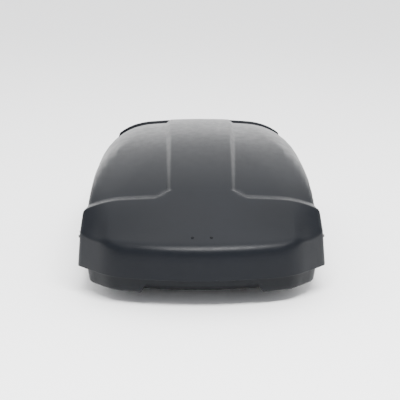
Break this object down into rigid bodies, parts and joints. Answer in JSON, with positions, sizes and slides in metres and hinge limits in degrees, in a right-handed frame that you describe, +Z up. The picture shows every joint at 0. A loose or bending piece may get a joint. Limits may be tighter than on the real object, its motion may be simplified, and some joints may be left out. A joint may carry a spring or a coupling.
{
  "type": "roof cargo box",
  "caption": "Wide roof cargo box with a wedge nose and lowered roof panels; the lid hinges at the nose and locks at the rear, with clamps for roof bars.",
  "frame": {"origin": "on the flat underside of the tub, midway between its sides and midway along the lid", "axes": "+Z up, nose towards -Y; the length runs along Y and the width along X"},
  "size_m": [0.924, 1.5911, 0.518],
  "materials": {
    "lid_skin": "fine-grained ABS, satin",
    "tub_skin": "grained ABS, matte",
    "bow_plastic": "ribbed polypropylene",
    "seal_rubber": "foam rubber",
    "rail_metal": "extruded, satin",
    "hinge_steel": "zinc plated",
    "pin_steel": "plain steel",
    "stay_steel": "zinc plated",
    "rivet_black": "dark lacquer",
    "lock_plastic": "moulded nylon",
    "lock_chrome": "bright",
    "latch_steel": "zinc plated",
    "hook_steel": "zinc plated",
    "plate_steel": "powder coat",
    "knob_plastic": "moulded nylon"
  },
  "bodies": {
    "tub": {"clamp_plate_front_left": "plate_steel", "clamp_plate_front_right": "plate_steel", "clamp_plate_rear_left": "plate_steel", "clamp_plate_rear_right": "plate_steel", "floor_rail_left": "rail_metal", "floor_rail_right": "rail_metal", "hinge_pin_left": "pin_steel", "hinge_pin_right": "pin_steel", "hinge_tub_leaf_left": "hinge_steel", "hinge_tub_leaf_right": "hinge_steel", "keeper_left": "latch_steel", "keeper_right": "latch_steel", "rim_seal_left": "seal_rubber", "rim_seal_rear": "seal_rubber", "rim_seal_right": "seal_rubber", "stay_slot_plate_left": "stay_steel", "stay_slot_plate_right": "stay_steel", "tub_shell": "tub_skin"},
    "lid": {"hinge_lid_leaf_left": "hinge_steel", "hinge_lid_leaf_right": "hinge_steel", "lid_bow_front": "bow_plastic", "lid_bow_rear": "bow_plastic", "lid_shell": "lid_skin", "lock_case": "lock_plastic", "nose_rivet_left": "rivet_black", "nose_rivet_right": "rivet_black", "side_rivet_left_1": "rivet_black", "side_rivet_left_2": "rivet_black", "side_rivet_right_1": "rivet_black", "side_rivet_right_2": "rivet_black", "stay_bracket_left": "stay_steel", "stay_bracket_right": "stay_steel"},
    "stay_left": {"stay_arm_left": "stay_steel"},
    "stay_right": {"stay_arm_right": "stay_steel"},
    "lock_barrel": {"lock_barrel": "lock_chrome"},
    "latch_left": {"latch_rod_left": "latch_steel"},
    "latch_right": {"latch_rod_right": "latch_steel"},
    "hook_front_left": {"clamp_hook_front_left": "hook_steel"},
    "knob_a_front_left": {"clamp_knob_a_front_left": "knob_plastic"},
    "knob_b_front_left": {"clamp_knob_b_front_left": "knob_plastic"},
    "hook_front_right": {"clamp_hook_front_right": "hook_steel"},
    "knob_a_front_right": {"clamp_knob_a_front_right": "knob_plastic"},
    "knob_b_front_right": {"clamp_knob_b_front_right": "knob_plastic"},
    "hook_rear_left": {"clamp_hook_rear_left": "hook_steel"},
    "knob_a_rear_left": {"clamp_knob_a_rear_left": "knob_plastic"},
    "knob_b_rear_left": {"clamp_knob_b_rear_left": "knob_plastic"},
    "hook_rear_right": {"clamp_hook_rear_right": "hook_steel"},
    "knob_a_rear_right": {"clamp_knob_a_rear_right": "knob_plastic"},
    "knob_b_rear_right": {"clamp_knob_b_rear_right": "knob_plastic"}
  },
  "joints": [
    {"name": "lid_hinge", "type": "hinge", "parent": "tub", "child": "lid", "pos_m": [0, -0.768, 0.066], "axis": [1, 0, 0], "range_deg": [0, 36]},
    {"name": "stay_left_pivot", "type": "hinge", "parent": "lid", "child": "stay_left", "pos_m": [-0.397, -0.58, 0.171], "axis": [1, 0, 0], "range_deg": [-73.1, 0]},
    {"name": "stay_right_pivot", "type": "hinge", "parent": "lid", "child": "stay_right", "pos_m": [0.397, -0.58, 0.171], "axis": [1, 0, 0], "range_deg": [-73.1, 0]},
    {"name": "key_turn", "type": "hinge", "parent": "lid", "child": "lock_barrel", "pos_m": [0, 0.79, 0.116], "axis": [0, -1, 0], "range_deg": [0, 91]},
    {"name": "latch_left_slide", "type": "slide", "parent": "lid", "child": "latch_left", "axis": [-1, 0, 0], "range_m": [0, 0.015]},
    {"name": "latch_right_slide", "type": "slide", "parent": "lid", "child": "latch_right", "axis": [1, 0, 0], "range_m": [0, 0.0152]},
    {"name": "hook_front_left_drop", "type": "slide", "parent": "tub", "child": "hook_front_left", "axis": [0, 0, -1], "range_m": [0, 0.01]},
    {"name": "knob_a_front_left_turn", "type": "hinge", "parent": "tub", "child": "knob_a_front_left", "pos_m": [-0.285, -0.375, 0.0076], "axis": [0, 0, 1], "range_deg": [0, 2910]},
    {"name": "knob_b_front_left_turn", "type": "hinge", "parent": "tub", "child": "knob_b_front_left", "pos_m": [-0.285, -0.285, 0.0076], "axis": [0, 0, 1], "range_deg": [0, 2910]},
    {"name": "hook_front_right_drop", "type": "slide", "parent": "tub", "child": "hook_front_right", "axis": [0, 0, -1], "range_m": [0, 0.01]},
    {"name": "knob_a_front_right_turn", "type": "hinge", "parent": "tub", "child": "knob_a_front_right", "pos_m": [0.285, -0.375, 0.0076], "axis": [0, 0, 1], "range_deg": [0, 2910]},
    {"name": "knob_b_front_right_turn", "type": "hinge", "parent": "tub", "child": "knob_b_front_right", "pos_m": [0.285, -0.285, 0.0076], "axis": [0, 0, 1], "range_deg": [0, 2910]},
    {"name": "hook_rear_left_drop", "type": "slide", "parent": "tub", "child": "hook_rear_left", "axis": [0, 0, -1], "range_m": [0, 0.01]},
    {"name": "knob_a_rear_left_turn", "type": "hinge", "parent": "tub", "child": "knob_a_rear_left", "pos_m": [-0.285, 0.325, 0.0076], "axis": [0, 0, 1], "range_deg": [0, 2910]},
    {"name": "knob_b_rear_left_turn", "type": "hinge", "parent": "tub", "child": "knob_b_rear_left", "pos_m": [-0.285, 0.415, 0.0076], "axis": [0, 0, 1], "range_deg": [0, 2910]},
    {"name": "hook_rear_right_drop", "type": "slide", "parent": "tub", "child": "hook_rear_right", "axis": [0, 0, -1], "range_m": [0, 0.01]},
    {"name": "knob_a_rear_right_turn", "type": "hinge", "parent": "tub", "child": "knob_a_rear_right", "pos_m": [0.285, 0.325, 0.0076], "axis": [0, 0, 1], "range_deg": [0, 2910]},
    {"name": "knob_b_rear_right_turn", "type": "hinge", "parent": "tub", "child": "knob_b_rear_right", "pos_m": [0.285, 0.415, 0.0076], "axis": [0, 0, 1], "range_deg": [0, 2910]}
  ],
  "couplings": [
    {"joint": "stay_left_pivot", "follows": "lid_hinge", "ratio": -2.028},
    {"joint": "stay_right_pivot", "follows": "lid_hinge", "ratio": -2.028},
    {"joint": "key_turn", "follows": "latch_left_slide", "rad_per_m": 104.72},
    {"joint": "latch_right_slide", "follows": "latch_left_slide", "ratio": 1},
    {"joint": "knob_a_front_left_turn", "follows": "hook_front_left_drop", "rad_per_m": 5026.6},
    {"joint": "knob_b_front_left_turn", "follows": "hook_front_left_drop", "rad_per_m": 5026.6},
    {"joint": "knob_a_front_right_turn", "follows": "hook_front_right_drop", "rad_per_m": 5026.6},
    {"joint": "knob_b_front_right_turn", "follows": "hook_front_right_drop", "rad_per_m": 5026.6},
    {"joint": "knob_a_rear_left_turn", "follows": "hook_rear_left_drop", "rad_per_m": 5026.6},
    {"joint": "knob_b_rear_left_turn", "follows": "hook_rear_left_drop", "rad_per_m": 5026.6},
    {"joint": "knob_a_rear_right_turn", "follows": "hook_rear_right_drop", "rad_per_m": 5026.6},
    {"joint": "knob_b_rear_right_turn", "follows": "hook_rear_right_drop", "rad_per_m": 5026.6}
  ]
}
